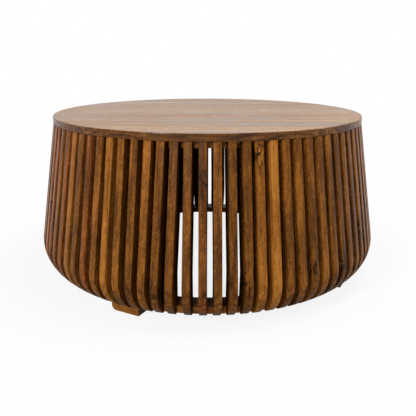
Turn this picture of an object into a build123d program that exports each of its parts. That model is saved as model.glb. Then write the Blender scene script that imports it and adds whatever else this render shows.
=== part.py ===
from build123d import *
from math import asin, ceil, cos, degrees, radians, sin, sqrt, tan
import os

# Slatted drum coffee table, in millimetres. It stands on z = 0, centred on the z axis,
# with the gap between two slats in the middle of its front, on the -y side.
# Angles are in degrees, from +x towards +y.

# tabletop: a disc of edge-glued boards that run along x
top_radius = 400
top_thickness = 17
board_count = 9

# loose tongues that join neighbouring boards
tongue_width = 20
tongue_thickness = 5
tongue_stop = 12  # between the end of a tongue and the circle of the tabletop's pegs
tongue_play = 0.5  # left round the edges of a tongue, for the glue

# slats: staves on edge, flared downwards and curved in at the foot
slat_count = 87
bank_count = 8  # groups of neighbouring slats
slat_width = 17
slat_depth = 34
slat_height = 375
flare_angle = 9.3
curve_radius = 84
curve_centre_height = 73  # above the slat's foot end
heel_height = 95  # where the inner edge turns in towards the base ring
heel_depth = 10  # how far the heel reaches onto the base ring
tail_thickness = 6.5  # what is left outside the base ring, at the foot end
top_rebate_depth = 6.5  # how far the top ring is let into the slats

# rings: segments that are half-lapped into one another
segment_count = 8
ring_thickness = 17
base_ring_width = 47
top_ring_width = 56  # at the middle of a segment, whose inner edge is straight
lap_length = 46
top_ring_angle = -78.75  # where its first lap is
base_ring_angle = -95
glue_gap = 0.2

# feet: blocks under the base ring, one lower corner of each rounded
foot_height = 23
foot_length = 74
foot_depth = 42
foot_corner_radius = 12
foot_middle_angle = -73.7  # half way between the front two
foot_spread_angle = 90  # from one front foot to the other, and from one rear foot to the other

# square pegs that hold the top ring to the tabletop and the feet to the base ring
peg_side = 8
peg_grip = 11  # how far a peg goes into the second piece
peg_play = 0.1
top_peg_inset = 24  # from the top ring's outer edge
foot_peg_spacing = 36  # between the two pegs of a foot

# heights
base_ring_bottom = foot_height
base_ring_top = base_ring_bottom + ring_thickness
slat_foot = base_ring_bottom
top_underside = slat_foot + slat_height
top_ring_bottom = top_underside - ring_thickness

# The outer edge of a slat is a straight line that runs into an arc.
flare = radians(flare_angle)
curve_centre_z = slat_foot + curve_centre_height
curve_fall = top_underside - curve_centre_z
curve_centre_r = top_radius + (curve_fall * sin(flare) - curve_radius) / cos(flare)
curve_end_angle = degrees(asin(curve_centre_height / curve_radius))
slat_foot_r = curve_centre_r + sqrt(curve_radius**2 - curve_centre_height**2)

# The inner edge is parallel to that line, and both rings are let into it.
slat_inner_r = top_radius - slat_depth / cos(flare)
top_ring_outer = slat_inner_r + top_rebate_depth
base_ring_outer = slat_foot_r - tail_thickness

segment_angle = 360 / segment_count
board_width = 2 * top_radius / board_count


def save(piece, name):
    piece.part.label = name
    export_step(piece.part, f"parts/{name}.step")


def polar(radius, angle):
    return (radius * cos(radians(angle)), radius * sin(radians(angle)))


def arc_angle(length, radius):
    return degrees(length / radius)


def inner_edge_r(z):
    # where the straight inner edge of a slat is at a height
    return slat_inner_r + (top_underside - z) * tan(flare)


def wedge(outer, start, end):
    # a slice of the plane from the axis outwards, wider than any ring
    reach = 2 * outer
    with BuildSketch() as slice_of_plane:
        with BuildLine():
            Polyline((0, 0), polar(reach, start), polar(reach, end), close=True)
        make_face()
    return slice_of_plane.sketch


def flat_ring(outer, width, turn, straight):
    # the plan of a ring, with a round or a straight-sided inner edge
    with BuildSketch() as plan:
        Circle(outer)
        if straight:
            RegularPolygon(
                outer - width,
                segment_count,
                major_radius=False,
                rotation=turn,
                mode=Mode.SUBTRACT,
            )
        else:
            Circle(outer - width, mode=Mode.SUBTRACT)
    return plan.sketch


def radial_place(radius, angle):
    # a place on the ground, with its x axis pointing away from the table's axis
    return Location((*polar(radius, angle), 0), (0, 0, angle))


def add_pegs(places, z, height):
    with Locations(*places):
        with Locations((0, 0, z)):
            Box(peg_side, peg_side, height, align=(Align.CENTER, Align.CENTER, Align.MIN))


def cut_peg_holes(places, z, height):
    side = peg_side + 2 * peg_play
    with Locations(*places):
        with Locations((0, 0, z)):
            Box(
                side,
                side,
                height,
                align=(Align.CENTER, Align.CENTER, Align.MIN),
                mode=Mode.SUBTRACT,
            )


os.makedirs("parts", exist_ok=True)

# one peg in the middle of each segment of the top ring
top_peg_r = top_ring_outer - top_peg_inset
top_pegs = [
    radial_place(top_peg_r, top_ring_angle + (number + 0.5) * segment_angle)
    for number in range(segment_count)
]

# The feet are set back until their front corners are under the base ring's outer edge.
foot_face_r = sqrt(base_ring_outer**2 - (foot_length / 2) ** 2)
foot_sides = [(turn, side) for turn in (0, 180) for side in (-1, 1)]
foot_angles = [foot_middle_angle + turn + side * foot_spread_angle / 2 for turn, side in foot_sides]
foot_pegs = [
    radial_place(foot_face_r, angle) * Location((-foot_depth / 2, side * foot_peg_spacing / 2, 0))
    for angle in foot_angles
    for side in (-1, 1)
]

# Each seam of the tabletop has a tongue that ends short of the circle of pegs.
tongue_end_r = top_peg_r - peg_side / 2 - tongue_stop
seams = [-top_radius + number * board_width for number in range(1, board_count)]
tongue_lengths = {
    seam: 2 * sqrt(tongue_end_r**2 - (abs(seam) + tongue_width / 2) ** 2)
    for seam in seams
    if abs(seam) + tongue_width / 2 < tongue_end_r
}
tongue_z = top_underside + top_thickness / 2

# tabletop boards, numbered from the front
for number in range(board_count):
    middle = -top_radius + (number + 0.5) * board_width
    with BuildPart() as board:
        with BuildSketch(Plane.XY.offset(top_underside)):
            Circle(top_radius)
            with Locations((0, middle)):
                Rectangle(2 * top_radius, board_width, mode=Mode.INTERSECT)
        extrude(amount=top_thickness)
        for seam, length in tongue_lengths.items():
            if abs(seam - middle) < board_width:
                with Locations((0, seam, tongue_z)):
                    Box(
                        length + 2 * tongue_play,
                        tongue_width + 2 * tongue_play,
                        tongue_thickness,
                        mode=Mode.SUBTRACT,
                    )
        cut_peg_holes(top_pegs, top_underside, peg_grip)
    save(board, f"tabletop_board_{number + 1}")

with BuildPart() as tongues:
    for seam, length in tongue_lengths.items():
        with Locations((0, seam, tongue_z)):
            Box(length, tongue_width, tongue_thickness)
save(tongues, "tabletop_tongues")


def ring_segment(name, plan, outer, bottom, start, pegs):
    # The lower half starts and ends one lap sooner than the upper half.
    half_lap = arc_angle(lap_length / 2, outer)
    end = start + segment_angle - arc_angle(glue_gap, outer)
    halves = ((bottom, -half_lap), (bottom + ring_thickness / 2, half_lap))
    with BuildPart() as segment:
        for z, shift in halves:
            with BuildSketch(Plane.XY.offset(z)):
                add(plan)
                add(wedge(outer, start + shift, end + shift), mode=Mode.INTERSECT)
            extrude(amount=ring_thickness / 2)
        cut_peg_holes(pegs, bottom, ring_thickness)
    save(segment, name)


# top ring, pegged to the tabletop
top_ring_plan = flat_ring(top_ring_outer, top_ring_width, top_ring_angle, straight=True)
for number in range(segment_count):
    ring_segment(
        f"top_ring_segment_{number + 1}",
        top_ring_plan,
        top_ring_outer,
        top_ring_bottom,
        top_ring_angle + number * segment_angle,
        top_pegs,
    )

with BuildPart() as tabletop_pegs:
    add_pegs(top_pegs, top_ring_bottom, ring_thickness + peg_grip)
save(tabletop_pegs, "tabletop_pegs")

# base ring, which the slats stand on and the feet are pegged to
base_ring_plan = flat_ring(base_ring_outer, base_ring_width, base_ring_angle, straight=False)
for number in range(segment_count):
    ring_segment(
        f"base_ring_segment_{number + 1}",
        base_ring_plan,
        base_ring_outer,
        base_ring_bottom,
        base_ring_angle + number * segment_angle,
        foot_pegs,
    )

# a slat from its side, with x as the distance from the table's axis
outer_tangent = (
    curve_centre_r + curve_radius * cos(flare),
    curve_centre_z + curve_radius * sin(flare),
)
rebate_bottom = top_ring_bottom - glue_gap
rebate_r = top_ring_outer + glue_gap
heel_z = slat_foot + heel_height
step_r = base_ring_outer + glue_gap
with BuildSketch() as slat_side:
    with BuildLine():
        Line((top_radius, top_underside), outer_tangent)
        CenterArc(
            (curve_centre_r, curve_centre_z),
            curve_radius,
            flare_angle,
            -flare_angle - curve_end_angle,
        )
        Polyline(
            (slat_foot_r, slat_foot),
            (step_r, slat_foot),
            (step_r, base_ring_top),
            (base_ring_outer - heel_depth, base_ring_top),
            (inner_edge_r(heel_z), heel_z),
            (inner_edge_r(rebate_bottom), rebate_bottom),
            (rebate_r, rebate_bottom),
            (rebate_r, top_underside),
            (top_radius, top_underside),
        )
    make_face()


def slat_plane(number):
    # the upright plane through the table's axis and the middle of a slat
    x, y = polar(1, -90 + (number + 0.5) * 360 / slat_count)
    return Plane(origin=(0, 0, 0), x_dir=(x, y, 0), z_dir=(y, -x, 0))


# slats, in banks of neighbours; the last bank has what is left
slats_in_bank = ceil(slat_count / bank_count)
for bank in range(bank_count):
    first = bank * slats_in_bank
    after_last = min(first + slats_in_bank, slat_count)
    with BuildPart() as slats:
        with BuildSketch(*[slat_plane(number) for number in range(first, after_last)]):
            add(slat_side.sketch)
        extrude(amount=slat_width / 2, both=True)
    save(slats, f"slats_{bank + 1}")

# feet, in mirrored pairs that have their rounded corners farthest apart
foot_names = ["front_left_foot", "front_right_foot", "rear_right_foot", "rear_left_foot"]
for name, angle, (turn, side) in zip(foot_names, foot_angles, foot_sides):
    foot_face = Plane(
        origin=(*polar(foot_face_r, angle), 0),
        x_dir=(*polar(1, angle + 90), 0),
        z_dir=(*polar(1, angle), 0),
    )
    with BuildPart() as foot:
        with BuildSketch(foot_face) as foot_front:
            Rectangle(foot_length, foot_height, align=(Align.CENTER, Align.MIN))
            lower_corners = foot_front.vertices().group_by(Axis.Y)[0].sort_by(Axis.X)
            fillet(lower_corners[0 if side < 0 else -1], foot_corner_radius)
        extrude(amount=-foot_depth)
        cut_peg_holes(foot_pegs, 0, foot_height)
    save(foot, name)

with BuildPart() as all_foot_pegs:
    add_pegs(foot_pegs, 0, foot_height + ring_thickness)
save(all_foot_pegs, "foot_pegs")
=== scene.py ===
import bmesh
import bpy
import math
import random
from mathutils import Matrix, Vector


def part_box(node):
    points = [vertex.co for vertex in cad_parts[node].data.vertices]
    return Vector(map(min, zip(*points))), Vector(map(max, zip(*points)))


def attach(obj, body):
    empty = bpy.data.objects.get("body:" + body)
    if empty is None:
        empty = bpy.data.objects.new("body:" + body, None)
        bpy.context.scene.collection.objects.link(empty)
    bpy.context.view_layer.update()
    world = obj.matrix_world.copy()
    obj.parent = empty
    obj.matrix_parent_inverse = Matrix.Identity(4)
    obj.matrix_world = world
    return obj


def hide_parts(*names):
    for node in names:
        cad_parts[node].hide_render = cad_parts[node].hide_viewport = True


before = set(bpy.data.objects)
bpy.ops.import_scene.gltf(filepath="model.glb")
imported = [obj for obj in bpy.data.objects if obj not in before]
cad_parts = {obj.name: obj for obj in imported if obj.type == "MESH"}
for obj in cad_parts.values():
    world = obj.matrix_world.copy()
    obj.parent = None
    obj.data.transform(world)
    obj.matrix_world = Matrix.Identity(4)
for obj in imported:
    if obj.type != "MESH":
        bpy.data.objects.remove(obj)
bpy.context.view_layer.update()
print("frame:", len(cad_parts), "nodes")


class Wire:
    # one value in a node tree: arithmetic on it adds Math or Vector Math nodes
    def __init__(self, tree, socket):
        self.tree = tree
        self.socket = socket

    def __add__(self, other):
        return self.tree.sum("ADD", self, other)

    def __radd__(self, other):
        return self.tree.sum("ADD", other, self)

    def __sub__(self, other):
        return self.tree.sum("SUBTRACT", self, other)

    def __rsub__(self, other):
        return self.tree.sum("SUBTRACT", other, self)

    def __mul__(self, other):
        return self.tree.sum("MULTIPLY", self, other)

    def __rmul__(self, other):
        return self.tree.sum("MULTIPLY", other, self)

    def __truediv__(self, other):
        return self.tree.sum("DIVIDE", self, other)

    def __pow__(self, other):
        return self.tree.sum("POWER", self, other)


class NodeTree:
    def __init__(self, tree):
        self.tree = tree

    def node(self, kind, settings=None, sockets=None, out=0):
        # any node: its settings first, then the values or links of its sockets
        made = self.tree.nodes.new(kind)
        for name, value in (settings or {}).items():
            if name == "stops":
                self.setStops(made.color_ramp, value)
            else:
                setattr(made, name, value)
        for name, value in (sockets or {}).items():
            if isinstance(value, Wire):
                self.tree.links.new(value.socket, made.inputs[name])
            else:
                made.inputs[name].default_value = value
        return Wire(self, made.outputs[out]) if made.outputs else made

    def setStops(self, ramp, stops):
        while len(ramp.elements) < len(stops):
            ramp.elements.new(1)
        for element, (position, colour) in zip(ramp.elements, stops):
            element.position = position
            element.color = (*colour, 1)

    def sum(self, operation, *values):
        isVector = any(
            isinstance(value, tuple) or getattr(getattr(value, "socket", None), "type", "") == "VECTOR"
            for value in values
        )
        if isVector:
            kind = "ShaderNodeVectorMath"
            values = [(value,) * 3 if isinstance(value, (int, float)) else value for value in values]
        else:
            kind = "ShaderNodeMath"
        return self.node(kind, {"operation": operation}, dict(enumerate(values)))

    def maths(self, operation, value):
        # one value through a Math node, such as a sine
        return self.node("ShaderNodeMath", {"operation": operation}, {0: value})

    def length(self, vector):
        return self.node("ShaderNodeVectorMath", {"operation": "LENGTH"}, {0: vector}, "Value")

    def split(self, vector):
        return [self.node("ShaderNodeSeparateXYZ", None, {0: vector}, out) for out in "XYZ"]

    def join(self, x, y, z):
        return self.node("ShaderNodeCombineXYZ", None, {0: x, 1: y, 2: z})

    def noise(self, place, scale, detail, roughness=0.5, distortion=0.0):
        # from 0 to 1, with scale in cells a metre along each axis
        return self.node(
            "ShaderNodeTexNoise",
            None,
            {
                "Vector": place * scale,
                "Scale": 1.0,
                "Detail": detail,
                "Roughness": roughness,
                "Distortion": distortion,
            },
        )

    def ray(self, kind):
        # 1 for light rays of a kind, 0 for others
        return self.node("ShaderNodeLightPath", out=kind)

    def attribute(self, name, out):
        return self.node("ShaderNodeAttribute", {"attribute_name": name}, out=out)

    def fade(self, value, low, high, start=0.0, end=1.0):
        # a smooth step from start, where value is low, to end, where it is high
        return self.node(
            "ShaderNodeMapRange",
            {"interpolation_type": "SMOOTHSTEP"},
            {0: value, 1: low, 2: high, 3: start, 4: end},
        )

    def mix(self, share, first, second, blend="MIX"):
        # two colours: the node's colour sockets are numbers 6 and 7, and its colour result is 2
        colours = [(*c, 1) if isinstance(c, tuple) else c for c in (first, second)]
        return self.node(
            "ShaderNodeMix",
            {"data_type": "RGBA", "blend_type": blend},
            {0: share, 6: colours[0], 7: colours[1]},
            out=2,
        )


def newMaterial(name):
    material = bpy.data.materials.new(name)
    material.use_nodes = True
    material.node_tree.nodes.clear()
    return material, NodeTree(material.node_tree)


# stained hardwood
stain = {
    "dark": (0.041, 0.0145, 0.0038),
    "brown": (0.155, 0.0545, 0.0092),
    "orange": (0.370, 0.1320, 0.0190),
    "pale": (0.500, 0.2000, 0.0320),
    "red": (1.10, 0.80, 1.00),  # multiplies the others
    "flake": (0.014, 0.0060, 0.0020),
    "colourTones": (0.04, 0.42, 0.78, 1.00),  # of the first four
}


def boardOfMesh(tree):
    # what a mesh carries for each of its boards; a layer that it lacks reads as 0
    return {
        "place": tree.attribute("grainPlace", "Vector"),
        "seed": tree.attribute("boardSeed", "Fac"),
        "tone": tree.attribute("boardTone", "Fac"),
        "outsideGap": tree.attribute("boardSanded", "Fac"),
        "figure": tree.attribute("boardFigure", "Fac"),
        "red": tree.attribute("boardRed", "Fac"),
    }


def woodGrain(tree, look, place, seed):
    # the parts of the grain, centred on 0 or from 0 to 1; place is in metres, z along the grain
    chance = tree.node("ShaderNodeTexWhiteNoise", {"noise_dimensions": "1D"}, {"W": seed}, "Color")
    luck = tree.split(chance)
    apart = tree.node(
        "ShaderNodeVectorMath", {"operation": "SCALE"}, {0: chance, "Scale": look["boardsApart"]}
    )
    inLog = place + apart

    # growth rings about a pith that lies off the board
    x, y, z = tree.split(place)
    sway = (tree.noise(inLog, look["sway"], detail=2.0) - 0.5) * look["swayReach"]
    fromPith = tree.join(
        x + (luck[0] + look["pithNearest"]) * look["pithReach"],
        y + (luck[1] - 0.5) * look["pithReach"],
        sway,
    )
    phase = (tree.length(fromPith) + sway) * (2 * math.pi / look["ringWidth"])
    rings = tree.maths("SINE", phase) * 0.5 + 0.5

    flecks = tree.noise(inLog, look["flecks"], detail=2.0, roughness=0.7, distortion=0.8)
    streaks = tree.noise(inLog, look["streaks"], detail=3.0, roughness=0.6, distortion=0.4)
    pores = tree.noise(inLog, look["pores"], detail=2.0, roughness=0.6)
    return {
        "luck": luck,
        "inLog": inLog,
        "height": z,
        "lateWood": rings ** look["lateWoodPower"],
        "patches": tree.noise(inLog, look["patches"], detail=3.0, roughness=0.55) - 0.5,
        "mottle": tree.noise(inLog, look["mottle"], detail=3.0, roughness=0.6, distortion=0.5) - 0.5,
        "fibres": tree.noise(inLog, look["fibres"], detail=4.0, roughness=0.65) - 0.5,
        "flecks": tree.fade(flecks, *look["fleckEdges"]) - look["fleckMiddle"],
        "streaks": tree.fade(streaks, *look["streakEdges"]),
        "pores": tree.fade(pores, *look["poreEdges"]),
    }


def woodColour(tree, look, grain, tone, red):
    shade = (
        tone
        + grain["patches"] * look["patchDepth"]
        + grain["mottle"] * look["mottleDepth"]
        + grain["fibres"] * look["fibreDepth"]
        + grain["flecks"] * look["fleckDepth"]
        + (look["lateWoodMiddle"] - grain["lateWood"]) * look["ringDepth"]
    )
    colours = [look[name] for name in ("dark", "brown", "orange", "pale")]
    stops = list(zip(look["colourTones"], colours))
    colour = tree.node("ShaderNodeValToRGB", {"stops": stops}, {"Fac": shade})
    redness = tree.fade(red + grain["patches"], *look["redEdges"], 0.0, look["redDepth"])
    colour = tree.mix(redness, colour, look["red"], "MULTIPLY")
    colour = tree.mix(grain["streaks"] * look["streakDepth"], colour, look["flake"])
    return tree.mix(grain["pores"] * look["poreDepth"], colour, look["flake"])


def addFigure(tree, look, grain, figure, colour):
    # dark cracks and curls round one height of a board; a figure of 0 is none
    away = tree.maths("ABSOLUTE", grain["height"] - figure)
    near = tree.fade(away, 0.0, look["figureReach"], 1.0, 0.0)
    near = near * tree.fade(figure, 0.0, look["figureLowest"])
    curl = tree.noise(grain["inLog"], look["figures"], detail=2.0, distortion=1.6) - 0.5
    vein = tree.fade(tree.maths("ABSOLUTE", curl), *look["veinEdges"], 1.0, 0.0) + look["veinGround"]
    return tree.mix(near * vein * look["figureDepth"], colour, look["flake"])


def finishWood(name, look, place=None):
    # without a place the mesh carries its boards, and with one the look has a board's tone and seed
    material, tree = newMaterial(name)
    if place is None:
        board = boardOfMesh(tree)
        grain = woodGrain(tree, look, board["place"], board["seed"])
        # painted shade: faces inside the gaps between slats get a darker tone, and below no coat, so
        # they stay dark
        tone = board["tone"] - (1.0 - board["outsideGap"]) * look["gapShadeDepth"]
        colour = woodColour(tree, look, grain, tone, grain["luck"][2] + board["red"])
        colour = addFigure(tree, look, grain, board["figure"], colour)
        polish = board["outsideGap"] * look["polish"]
    else:
        grain = woodGrain(tree, look, place(tree), look["seed"])
        colour = woodColour(tree, look, grain, look["tone"], grain["luck"][2])
        polish = look["polish"]
    roughness = (
        look["roughness"]
        + (grain["fibres"] + grain["patches"]) * look["roughDepth"]
        + grain["pores"] * look["poreRoughness"]
    )
    height = (
        grain["fibres"] * look["fibreRelief"]
        - grain["pores"] * look["poreRelief"]
        - grain["lateWood"] * look["ringRelief"]
    )
    normal = tree.node(
        "ShaderNodeBump",
        None,
        {"Strength": look["relief"], "Distance": look["reliefHeight"], "Height": height},
    )
    shader = tree.node(
        "ShaderNodeBsdfPrincipled",
        None,
        {
            "Base Color": colour,
            "Roughness": roughness,
            "Normal": normal,
            "IOR": look["ior"],
            "Specular IOR Level": look["shine"],
            "Coat Weight": polish,
            "Coat IOR": look["polishIor"],
            "Coat Roughness": look["polishRoughness"],
        },
    )
    tree.node("ShaderNodeOutputMaterial", None, {"Surface": shader})
    return material


slatLook = {
    **stain,
    "boardsApart": 7.0,  # how far from one another the boards are taken from the log
    # cells a metre: twice across the grain, then along it
    "sway": (9.0, 9.0, 1.6),
    "patches": (26.0, 26.0, 7.0),
    "mottle": (120.0, 120.0, 50.0),
    "fibres": (280.0, 280.0, 14.0),
    "flecks": (340.0, 340.0, 190.0),
    "streaks": (130.0, 130.0, 7.0),
    "pores": (420.0, 420.0, 60.0),
    "figures": (38.0, 38.0, 15.0),
    # growth rings, in metres
    "swayReach": 0.030,
    "pithReach": 0.12,
    "pithNearest": 0.1,  # as a share of its reach
    "ringWidth": 0.009,
    "lateWoodPower": 3.0,  # a higher one gives thinner dark lines
    "lateWoodMiddle": 0.35,
    # where each noise starts to show and where it shows in full
    "fleckEdges": (0.42, 0.72),
    "fleckMiddle": 0.25,
    "streakEdges": (0.55, 0.70),
    "poreEdges": (0.57, 0.68),
    "redEdges": (0.55, 1.05),
    "veinEdges": (0.014, 0.075),
    "veinGround": 0.12,  # how much of a figure lies between its veins
    # how much each moves the tone or covers the colour
    "patchDepth": 1.0,
    "mottleDepth": 0.60,
    "fibreDepth": 0.95,
    "fleckDepth": 0.30,
    "ringDepth": 0.20,
    "redDepth": 0.62,
    "streakDepth": 0.34,
    "poreDepth": 0.16,
    "gapShadeDepth": 0.10,  # painted shade: the sides of a slat, inside the gaps, are darker
    "figureReach": 0.062,
    "figureLowest": 0.001,
    "figureDepth": 0.95,
    "roughness": 0.55,
    "roughDepth": 0.16,
    "poreRoughness": 0.12,
    "relief": 0.35,
    "reliefHeight": 0.0004,
    "fibreRelief": 0.5,
    "poreRelief": 0.7,
    "ringRelief": 0.25,
    "ior": 1.5,
    "shine": 0.0,
    "polish": 0.95,
    "polishIor": 1.18,
    "polishRoughness": 0.30,
}
topLook = {
    **slatLook,
    "orange": (0.325, 0.162, 0.0500),
    "pale": (0.560, 0.345, 0.1500),
    "sway": (5.0, 5.0, 0.9),
    "swayReach": 0.045,
    "ringWidth": 0.014,
    "patches": (14.0, 14.0, 2.0),
    "mottle": (60.0, 60.0, 9.0),
    "fibres": (110.0, 110.0, 4.0),
    "flecks": (240.0, 240.0, 140.0),
    "streaks": (45.0, 45.0, 2.5),
    "pores": (300.0, 300.0, 30.0),
    "redDepth": 0.45,
    "streakDepth": 0.26,
    "poreDepth": 0.12,
    "roughness": 0.30,
    "roughDepth": 0.45,
    "shine": 0.16,
    "polish": 0.0,
}
frameLook = {
    **slatLook,
    "ringWidth": 0.007,
    "redDepth": 0.15,
    "roughness": 0.40,
    "shine": 0.18,
    "polish": 0.0,
}
pegLook = {**frameLook, "tone": 0.85, "seed": 3.0}
tongueLook = {**frameLook, "tone": 0.78, "seed": 5.0}


def setLayer(mesh, name, domain, values):
    # one number, or one place, for each corner or face; a layer is filled before the next is made
    if isinstance(values[0], tuple):
        layer = mesh.attributes.new(name, "FLOAT_VECTOR", domain)
        layer.data.foreach_set("vector", [part for value in values for part in value])
    else:
        layer = mesh.attributes.new(name, "FLOAT", domain)
        layer.data.foreach_set("value", values)


def markBoard(mesh, grainPlace, tone, seed):
    # grainPlace turns a corner into a place in the board, z along the grain; tone takes a face
    setLayer(mesh, "grainPlace", "POINT", [tuple(grainPlace(corner.co)) for corner in mesh.vertices])
    setLayer(mesh, "boardTone", "FACE", [tone(face) for face in mesh.polygons])
    setLayer(mesh, "boardSanded", "POINT", [1.0] * len(mesh.vertices))
    setLayer(mesh, "boardSeed", "POINT", [seed] * len(mesh.vertices))


def alongZ(tree):
    # the place in a piece whose grain is upright
    return tree.node("ShaderNodeTexCoord", out="Object")


def alongX(tree):
    # the place in a piece whose grain runs from left to right
    x, y, z = tree.split(tree.node("ShaderNodeTexCoord", out="Object"))
    return tree.join(z, y, x)


slatWood = finishWood("slatWood", slatLook)
topWood = finishWood("topWood", topLook)
frameWood = finishWood("frameWood", frameLook)
pegWood = finishWood("pegWood", pegLook, alongZ)
tongueWood = finishWood("tongueWood", tongueLook, alongX)
print("woods ready")


def addPiece(name, mesh, material, nodes):
    piece = bpy.data.objects.new(name, mesh)
    bpy.context.scene.collection.objects.link(piece)
    mesh.materials.clear()
    mesh.materials.append(material)
    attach(piece, "root")
    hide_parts(*nodes)
    return piece


mergeGap = 1e-6  # corners that are closer are one corner


def easeEdges(build, edges, shape):
    bmesh.ops.bevel(
        build,
        geom=edges,
        offset=shape["easing"],
        segments=shape["easingSteps"],
        profile=0.5,
        affect="EDGES",
        clamp_overlap=True,
    )


def finishMesh(build, mesh, shape):
    # smooth, but for edges that are sharper than the shape's own angle
    build.to_mesh(mesh)
    build.free()
    for face in mesh.polygons:
        face.use_smooth = True
    mesh.set_sharp_from_angle(angle=shape["sharpAngle"])
    return mesh


# heights and radii that the frame gives: the middle board of the top is as long as the top is wide
topLow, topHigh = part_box("tabletop_board_5")
topRadius = topHigh.x
ringLow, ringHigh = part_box("base_ring_segment_1")
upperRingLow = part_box("top_ring_segment_1")[0].z


def farthest(node):
    return max(corner.co.xy.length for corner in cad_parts[node].data.vertices)


baseRingRadius = farthest("base_ring_segment_1")
topRingRadius = farthest("top_ring_segment_1")


def inRadians(angles):
    return {number: math.radians(angle) for number, angle in angles.items()}


slatShape = {
    "count": 87,
    "width": 0.017,
    "depth": 0.050,
    "flare": math.radians(9.3),
    "curveRadius": 0.084,
    "curveCentre": 0.073,  # above the foot end
    "curveSteps": 14,
    "heelHeight": 0.095,
    "heelDepth": 0.010,
    "play": 0.0002,
    "easing": 0.0012,
    "easingSteps": 2,
    "sharpAngle": math.radians(25),
    "outsideGapOut": 0.3,  # faces that point outwards or down by more than this lie outside the gaps; the others get painted shade
    "outsideGapDown": 0.6,
    "seed": 7,
    "toneLow": 0.34,
    "toneHigh": 0.64,
    "wander": 0.0004,  # how far at most a slat stands back from its neighbours
    "drift": math.radians(0.10),  # and is off its even place round the ring
    "figureLow": -0.6,  # a figure's height on its slat; at or below 0 there is none
    "figureHigh": 0.34,
    # Single slats go by their number from the front, negative to the left, with 43 at the back.
    # These are out of line, in degrees round the ring.
    "shifts": inRadians({
        -6: 0.30, -5: 0.32, -4: 0.20, -3: 0.05, -2: -0.15,
        2: 0.20, 3: -0.15, 41: 0.45, 44: 0.35, 45: -0.35,
    }),
    # These lean, in degrees: the foot is off to the left where it is negative.
    "leans": inRadians({-6: -0.40, -5: -0.90, -4: -1.40, -3: -1.30, -2: -0.20}),
    "tones": {
        -11: 0.36, -10: 0.44, -9: 0.52, -8: 0.66, -7: 0.38, -6: 0.46, -5: 0.46, -4: 0.48,
        -3: 0.46, -2: 0.38, -1: 0.46, 0: 0.46, 1: 0.38, 2: 0.44, 3: 0.76, 4: 0.84,
        5: 0.46, 6: 0.58, 7: 0.44, 8: 0.54, 9: 0.40, 10: 0.40,
    },
    "figureHeights": {
        -9: 0.155, -8: 0.0, -7: 0.0, -6: 0.0, -4: 0.05, -1: 0.28, 0: 0.0,
        2: 0.085, 3: 0.345, 4: 0.0, 5: 0.0, 7: 0.10, 8: 0.0,
    },
    # These are redder above 0 and more golden below it.
    "reds": {
        **dict.fromkeys((-20, -19, -18, -17, -16, -15, -14, -10, 12, 15), 0.45),
        **dict.fromkeys((-12, -11, -8, -7, -6, -5, -4, -3, -2, 0, 2, 3, 4, 6, 8), -0.6),
    },
}


def slatOutline(shape):
    # from the top corner down the outer edge and up the inner edge, as (distance from the axis, z)
    flare = shape["flare"]
    foot = ringLow.z
    centreZ = foot + shape["curveCentre"]
    radius = shape["curveRadius"]
    fall = topLow.z - centreZ
    centreX = topRadius + (fall * math.sin(flare) - radius) / math.cos(flare)
    endAngle = math.asin(shape["curveCentre"] / radius)
    points = [(topRadius, topLow.z)]
    for step in range(shape["curveSteps"] + 1):
        angle = flare - (flare + endAngle) * step / shape["curveSteps"]
        points.append((centreX + radius * math.cos(angle), centreZ + radius * math.sin(angle)))

    def innerEdge(z):
        return topRadius - shape["depth"] / math.cos(flare) + (topLow.z - z) * math.tan(flare)

    play = shape["play"]
    heelTop = foot + shape["heelHeight"]
    rebateLow = upperRingLow - play
    points += [
        (baseRingRadius + play, foot),
        (baseRingRadius + play, ringHigh.z),
        (baseRingRadius - shape["heelDepth"], ringHigh.z),
        (innerEdge(heelTop), heelTop),
        (innerEdge(rebateLow), rebateLow),
        (topRingRadius + play, rebateLow),
        (topRingRadius + play, topLow.z),
    ]
    return points


def oneSlat(shape):
    # a slat in the plane y = 0, with its arrises eased
    build = bmesh.new()
    outline = [build.verts.new((x, -shape["width"] / 2, z)) for x, z in slatOutline(shape)]
    side = build.faces.new(outline)
    pushed = bmesh.ops.extrude_face_region(build, geom=[side])
    moved = [item for item in pushed["geom"] if isinstance(item, bmesh.types.BMVert)]
    bmesh.ops.translate(build, verts=moved, vec=(0, shape["width"], 0))
    bmesh.ops.recalc_face_normals(build, faces=build.faces)
    arrises = [
        edge for edge in build.edges if abs(edge.verts[0].co.y - edge.verts[1].co.y) < mergeGap
    ]
    easeEdges(build, arrises, shape)
    mesh = finishMesh(build, bpy.data.meshes.new("slat"), shape)
    flare = shape["flare"]

    def placeInSlat(co):
        out = co.x - topRadius
        up = co.z - ringLow.z
        depth = out * math.cos(flare) + up * math.sin(flare)
        length = up * math.cos(flare) - out * math.sin(flare)
        return depth, co.y, length

    def isOutsideGap(face):
        # the outer edge and the foot end
        return face.normal.x > shape["outsideGapOut"] or face.normal.z < -shape["outsideGapDown"]

    setLayer(mesh, "grainPlace", "POINT", [placeInSlat(corner.co) for corner in mesh.vertices])
    # faces inside the gaps get 0 here, and with it painted shade and no coat
    setLayer(mesh, "boardSanded", "FACE", [float(isOutsideGap(face)) for face in mesh.polygons])
    return mesh


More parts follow.
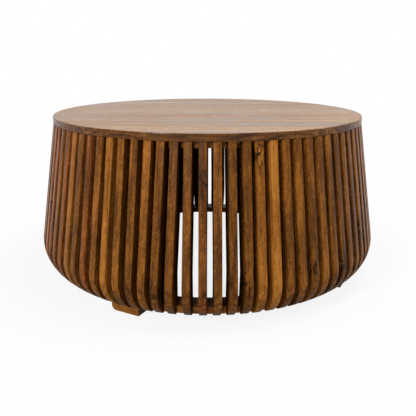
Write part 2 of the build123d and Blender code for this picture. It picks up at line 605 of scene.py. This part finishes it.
def slatRingTree(shape, labels):
    # sets copies of a slat in a ring; labels names the inputs that are numbers
    group = bpy.data.node_groups.new("slatRing", "GeometryNodeTree")
    group.is_modifier = True
    group.interface.new_socket("Geometry", in_out="OUTPUT", socket_type="NodeSocketGeometry")
    kinds = {"Slat": "Geometry", "Count": "Int", "Seed": "Int", "Wood": "Material"}
    sockets = {}
    for label in ("Slat", *labels, "Wood"):
        kind = kinds.get(label, "Float")
        item = group.interface.new_socket(label, in_out="INPUT", socket_type=f"NodeSocket{kind}")
        sockets[label] = item.identifier
    tree = NodeTree(group)
    inputNode = group.nodes.new("NodeGroupInput")
    given = {label: Wire(tree, inputNode.outputs[label]) for label in sockets}
    index = tree.node("GeometryNodeInputIndex")

    def chance(low, high, stream):
        # a random number for each slat: the node's number sockets are 2 and 3, its result is 1
        return tree.node(
            "FunctionNodeRandomValue",
            {"data_type": "FLOAT"},
            {2: low, 3: high, "ID": index, "Seed": given["Seed"] + stream},
            out=1,
        )

    def choose(usual, chosen):
        # the usual value, or a chosen one for the slats that have it
        for number, value in chosen.items():
            place = number % shape["count"]
            isThis = tree.node("ShaderNodeMath", {"operation": "COMPARE"}, {0: index, 1: place, 2: 0.5})
            usual = usual + isThis * (value - usual)
        return usual

    # each slat's place round the ring
    shift = choose(chance(0.0 - given["Drift"], given["Drift"], 3), shape["shifts"])
    angle = (index + 0.5) * (2 * math.pi) / given["Count"] - math.pi / 2 + shift
    lean = choose(0.0 * index, shape["leans"])
    back = chance(0.0, given["Wander"], 1)
    aside = lean * topLow.z  # keeps the upper end of a leaning slat where it is
    cosine = tree.maths("COSINE", angle)
    sine = tree.maths("SINE", angle)
    offset = tree.join(0.0 - back * cosine - aside * sine, aside * cosine - back * sine, 0.0)
    points = tree.node("GeometryNodePoints", None, {"Count": given["Count"]})
    points = tree.node("GeometryNodeSetPosition", None, {"Geometry": points, "Offset": offset})
    slats = tree.node(
        "GeometryNodeInstanceOnPoints",
        None,
        {"Points": points, "Instance": given["Slat"], "Rotation": tree.join(lean, 0.0, angle)},
    )

    # each slat's wood
    layers = {
        "boardTone": choose(chance(given["Tone Low"], given["Tone High"], 2), shape["tones"]),
        "boardSeed": index * 1.0,
        "boardFigure": choose(
            chance(given["Figure Low"], given["Figure High"], 4), shape["figureHeights"]
        ),
        "boardRed": choose(0.0 * index, shape["reds"]),
    }
    for label, value in layers.items():
        slats = tree.node(
            "GeometryNodeStoreNamedAttribute",
            {"data_type": "FLOAT", "domain": "INSTANCE"},
            {"Geometry": slats, "Name": label, "Value": value},
        )
    slats = tree.node("GeometryNodeRealizeInstances", None, {"Geometry": slats})
    slats = tree.node("GeometryNodeSetMaterial", None, {"Geometry": slats, "Material": given["Wood"]})
    outputNode = group.nodes.new("NodeGroupOutput")
    group.links.new(slats.socket, outputNode.inputs["Geometry"])
    return group, sockets


def makeSlats(shape):
    numbers = {
        "Count": shape["count"],
        "Wander": shape["wander"],
        "Drift": shape["drift"],
        "Tone Low": shape["toneLow"],
        "Tone High": shape["toneHigh"],
        "Figure Low": shape["figureLow"],
        "Figure High": shape["figureHigh"],
        "Seed": shape["seed"],
    }
    group, sockets = slatRingTree(shape, list(numbers))
    maker = bpy.data.objects.new("slatMaker", oneSlat(shape))
    bpy.context.scene.collection.objects.link(maker)
    ring = maker.modifiers.new("slatRing", "NODES")
    ring.node_group = group
    for label, value in numbers.items():
        ring[sockets[label]] = value
    ring[sockets["Wood"]] = slatWood
    evaluated = maker.evaluated_get(bpy.context.evaluated_depsgraph_get())
    mesh = bpy.data.meshes.new_from_object(evaluated)
    bpy.data.objects.remove(maker)
    nodes = [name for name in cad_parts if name.startswith("slats_")]
    return addPiece("slats", mesh, slatWood, nodes)


makeSlats(slatShape)
print("slats made:", slatShape["count"])


topShape = {
    "boards": 9,
    "arcStep": math.radians(1.5),
    "leastSteps": 6,
    "outerBoardSteps": 4,  # times as many on the outermost boards, whose arcs are long
    "rimEasing": 0.0018,
    "rimBend": 0.29,  # how much of the easing is cut away half way round it
    "undersideEasing": 0.0010,
    "seamEasing": 0.0003,
    "seamBend": 0.3,
    "sharpAngle": math.radians(15),
    "facingUp": 0.6,  # faces that point up by more than this are the upper face
    "firstSeed": 140.0,
    "tones": [0.78, 0.67, 0.69, 0.62, 0.70, 0.64, 0.60, 0.64, 0.57],
    # the rim's tone, from left to right as (x, tone): end grain takes more of the stain
    "rimTones": ((-0.40, 0.22), (-0.16, 0.27), (0.0, 0.48), (0.17, 0.36), (0.40, 0.36)),
}


def boardLoop(radius, low, high, steps):
    # the outline of a board cut from a disc, anticlockwise from its lower right corner
    low = max(low, -radius)
    high = min(high, radius)
    start = math.asin(low / radius)
    end = math.asin(high / radius)
    right = [start + (end - start) * step / steps for step in range(steps + 1)]
    left = [math.pi - angle for angle in reversed(right)]
    return [(radius * math.cos(angle), radius * math.sin(angle)) for angle in right + left]


def topBoardTone(face, number, shape):
    # the upper face has its board's tone, and the rim its own
    if face.normal.z > shape["facingUp"]:
        return shape["tones"][number]
    place = face.center.x
    for (left, first), (right, second) in zip(shape["rimTones"], shape["rimTones"][1:]):
        if place <= right:
            break
    return first + (second - first) * (place - left) / (right - left)


def makeBoard(number, shape):
    width = 2 * topRadius / shape["boards"]
    low = number * width - topRadius
    high = low + width
    steps = max(shape["leastSteps"], round(math.asin(width / topRadius) / shape["arcStep"]))
    if number in (0, shape["boards"] - 1):
        steps *= shape["outerBoardSteps"]
    ease = shape["rimEasing"]
    bend = ease * shape["rimBend"]
    under = shape["undersideEasing"]
    seam = shape["seamEasing"]
    # from below: how far the rim and the seams stand back at each height
    levels = (
        (under, seam, topLow.z),
        (0.0, 0.0, topLow.z + under),
        (0.0, 0.0, topHigh.z - ease),
        (bend, seam * shape["seamBend"], topHigh.z - bend),
        (ease, seam, topHigh.z),
    )
    build = bmesh.new()
    loops = []
    for inset, seamInset, z in levels:
        outline = boardLoop(topRadius - inset, low + seamInset, high - seamInset, steps)
        loops.append([build.verts.new((x, y, z)) for x, y in outline])
    for lower, upper in zip(loops, loops[1:]):
        for place in range(len(lower)):
            after = (place + 1) % len(lower)
            build.faces.new((lower[place], lower[after], upper[after], upper[place]))
    build.faces.new(reversed(loops[0]))
    build.faces.new(loops[-1])
    bmesh.ops.remove_doubles(build, verts=build.verts, dist=mergeGap)
    mesh = finishMesh(build, bpy.data.meshes.new(f"topBoard{number + 1}"), shape)
    middle = (low + high) / 2
    markBoard(
        mesh,
        lambda co: (co.z - topHigh.z, co.y - middle, co.x),
        lambda face: topBoardTone(face, number, shape),
        shape["firstSeed"] + number,
    )
    name = f"tabletop_board_{number + 1}"
    return addPiece(f"tabletopBoard{number + 1}", mesh, topWood, [name])


for number in range(topShape["boards"]):
    makeBoard(number, topShape)
print("tabletop made:", topShape["boards"], "boards")


easedShape = {
    "ringSegments": 8,
    "easing": 0.0008,
    "easingSteps": 2,
    "edgeAngle": math.radians(50),  # edges that are sharper are eased
    "flatAngle": math.radians(0.2),  # edges that are flatter are dissolved first
    "sharpAngle": math.radians(20),
    "facingEnd": 0.7,  # faces that point along the grain by more than this are end grain
    "seed": 11,
    "boardSeeds": (200, 700),
    "toneLow": 0.25,
    "toneHigh": 0.60,
    "tones": {
        # painted light: the front segments of both rings, seen between the slats, are made paler to
        # stand for light falling on them there
        "base_ring_segment_8": 1.05,
        "base_ring_segment_1": 0.75,
        "top_ring_segment_8": 1.00,
        "front_left_foot": 0.62,
    },
    "endGrainAndShadeDepth": 0.50,  # end grain takes more of the stain, and the darkening also stands for painted shade on the end faces
}
toneDice = random.Random(easedShape["seed"])


def easedMesh(source, shape):
    # a copy of a node's mesh with its arrises eased
    mesh = source.copy()
    build = bmesh.new()
    build.from_mesh(mesh)
    bmesh.ops.remove_doubles(build, verts=build.verts, dist=mergeGap)
    bmesh.ops.dissolve_limit(
        build, angle_limit=shape["flatAngle"], verts=build.verts, edges=build.edges
    )
    edges = [
        edge
        for edge in build.edges
        if len(edge.link_faces) == 2 and edge.calc_face_angle(0) > shape["edgeAngle"]
    ]
    easeEdges(build, edges, shape)
    return finishMesh(build, mesh, shape)


def makeEased(node, name, shape):
    # a ring segment or a foot, whose grain runs round the table
    mesh = easedMesh(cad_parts[node].data, shape)
    low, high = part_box(node)
    heading = math.atan2(low.y + high.y, low.x + high.x)
    outwards = Vector((math.cos(heading), math.sin(heading), 0))
    along = Vector((-math.sin(heading), math.cos(heading), 0))
    anyTone = toneDice.uniform(shape["toneLow"], shape["toneHigh"])
    tone = shape["tones"].get(node, anyTone)

    def toneOf(face):
        # end faces are darker for their end grain and for painted shade
        isEnd = abs(face.normal.dot(along)) > shape["facingEnd"]
        return tone - shape["endGrainAndShadeDepth"] * isEnd

    seed = float(toneDice.randrange(*shape["boardSeeds"]))
    markBoard(mesh, lambda co: (co.dot(outwards), co.z, co.dot(along)), toneOf, seed)
    return addPiece(name, mesh, frameWood, [node])


for ring in ("top_ring", "base_ring"):
    for number in range(1, easedShape["ringSegments"] + 1):
        makeEased(f"{ring}_segment_{number}", f"{ring}Segment{number}", easedShape)
for foot in ("front_left_foot", "front_right_foot", "rear_right_foot", "rear_left_foot"):
    makeEased(foot, foot + "Block", easedShape)
print("rings and feet made")

for name, material in (
    ("tabletop_pegs", pegWood),
    ("foot_pegs", pegWood),
    ("tabletop_tongues", tongueWood),
):
    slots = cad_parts[name].data.materials
    slots.clear()
    slots.append(material)
print("pegs and tongues finished")


stageLook = {
    "floorSize": 14.0,
    "floorLight": 0.38,  # the floor's shade for the light that it sends back to the table
    "floorSeen": 0.85,  # and for the shadow that the camera sees on it
    "shadowShare": 0.13,  # how much of the floor's shading the camera sees near the table
    "mirroredShare": 0.85,  # and how much of it the table's own shine shows
    "shadowNear": 0.40,
    "shadowFar": 0.85,
    "worldLight": 0.20,
    "lampsAim": (0, 0, 0.2),
}


def makeFloor(look):
    material, tree = newMaterial("paleFloor")
    seen = tree.ray("Is Camera Ray")
    mirrored = tree.ray("Is Glossy Ray") + tree.ray("Is Transmission Ray")
    grey = tree.mix(seen, (look["floorLight"],) * 3, (look["floorSeen"],) * 3)
    shaded = tree.node("ShaderNodeBsdfDiffuse", None, {"Color": grey})
    white = tree.node("ShaderNodeEmission", None, {"Color": (1, 1, 1, 1), "Strength": 1.0})
    distance = tree.length(tree.node("ShaderNodeTexCoord", out="Object"))
    near = tree.fade(distance, look["shadowNear"], look["shadowFar"], 1.0, 0.0)
    shadow = near * (seen * look["shadowShare"] + mirrored * look["mirroredShare"])
    mixed = tree.node("ShaderNodeMixShader", None, {0: seen + mirrored - shadow, 1: shaded, 2: white})
    tree.node("ShaderNodeOutputMaterial", None, {"Surface": mixed})
    half = look["floorSize"] / 2
    mesh = bpy.data.meshes.new("floor")
    corners = [(-half, -half, 0), (half, -half, 0), (half, half, 0), (-half, half, 0)]
    mesh.from_pydata(corners, [], [(0, 1, 2, 3)])
    mesh.materials.append(material)
    floor = bpy.data.objects.new("floor", mesh)
    bpy.context.scene.collection.objects.link(floor)


def lightWorld(look):
    world = bpy.data.worlds.new("paleRoom")
    world.use_nodes = True
    world.node_tree.nodes.clear()
    bpy.context.scene.world = world
    tree = NodeTree(world.node_tree)
    seen = tree.ray("Is Camera Ray") + tree.ray("Is Glossy Ray") + tree.ray("Is Transmission Ray")
    strength = look["worldLight"] + seen * (1 - look["worldLight"])
    shine = tree.node("ShaderNodeBackground", None, {"Color": (1, 1, 1, 1), "Strength": strength})
    tree.node("ShaderNodeOutputWorld", None, {"Surface": shine})


def aim(thing, place, target):
    thing.location = place
    thing.rotation_euler = (Vector(target) - Vector(place)).to_track_quat("-Z", "Y").to_euler()


lamps = {
    "key": {"place": (-1.9, -2.6, 2.1), "size": 0.9, "power": 70.0},
    "front": {"place": (-0.6, -3.0, 1.15), "size": 0.6, "power": 17.0},
    "top": {"place": (0.9, -0.2, 2.5), "size": 1.4, "power": 28.0},
    "left": {"place": (-2.8, 0.4, 1.0), "size": 0.9, "power": 8.0},
    "right": {"place": (2.8, -0.2, 1.3), "size": 0.9, "power": 20.0},
}


def hangLamps(lamps, target):
    for name, look in lamps.items():
        light = bpy.data.lights.new(name, "AREA")
        light.shape = "DISK"
        light.size = look["size"]
        light.energy = look["power"]
        lamp = bpy.data.objects.new(name, light)
        bpy.context.scene.collection.objects.link(lamp)
        aim(lamp, look["place"], target)


makeFloor(stageLook)
lightWorld(stageLook)
hangLamps(lamps, stageLook["lampsAim"])
print("floor and lights set")


cameraView = {
    "place": (-0.0199, -1.4092, 0.5664),
    # turns, in radians
    "yaw": 0.0154,  # towards +x
    "down": 0.2916,
    "roll": -0.002,
    "lens": 44.85,
    "sensor": 36,
}


def setCamera(look):
    data = bpy.data.cameras.new("camera")
    data.lens = look["lens"]
    data.sensor_width = look["sensor"]
    camera = bpy.data.objects.new("camera", data)
    bpy.context.scene.collection.objects.link(camera)
    yaw = look["yaw"]
    down = look["down"]
    ahead = Vector(
        (math.sin(yaw) * math.cos(down), math.cos(yaw) * math.cos(down), -math.sin(down))
    )
    right = Vector((math.cos(yaw), -math.sin(yaw), 0))
    right = Matrix.Rotation(look["roll"], 3, ahead) @ right
    up = right.cross(ahead)
    turn = Matrix((right, up, -ahead)).transposed().to_4x4()
    camera.matrix_world = Matrix.Translation(look["place"]) @ turn
    bpy.context.scene.camera = camera


setCamera(cameraView)
bpy.context.scene.view_settings.view_transform = "Standard"
print("camera set")
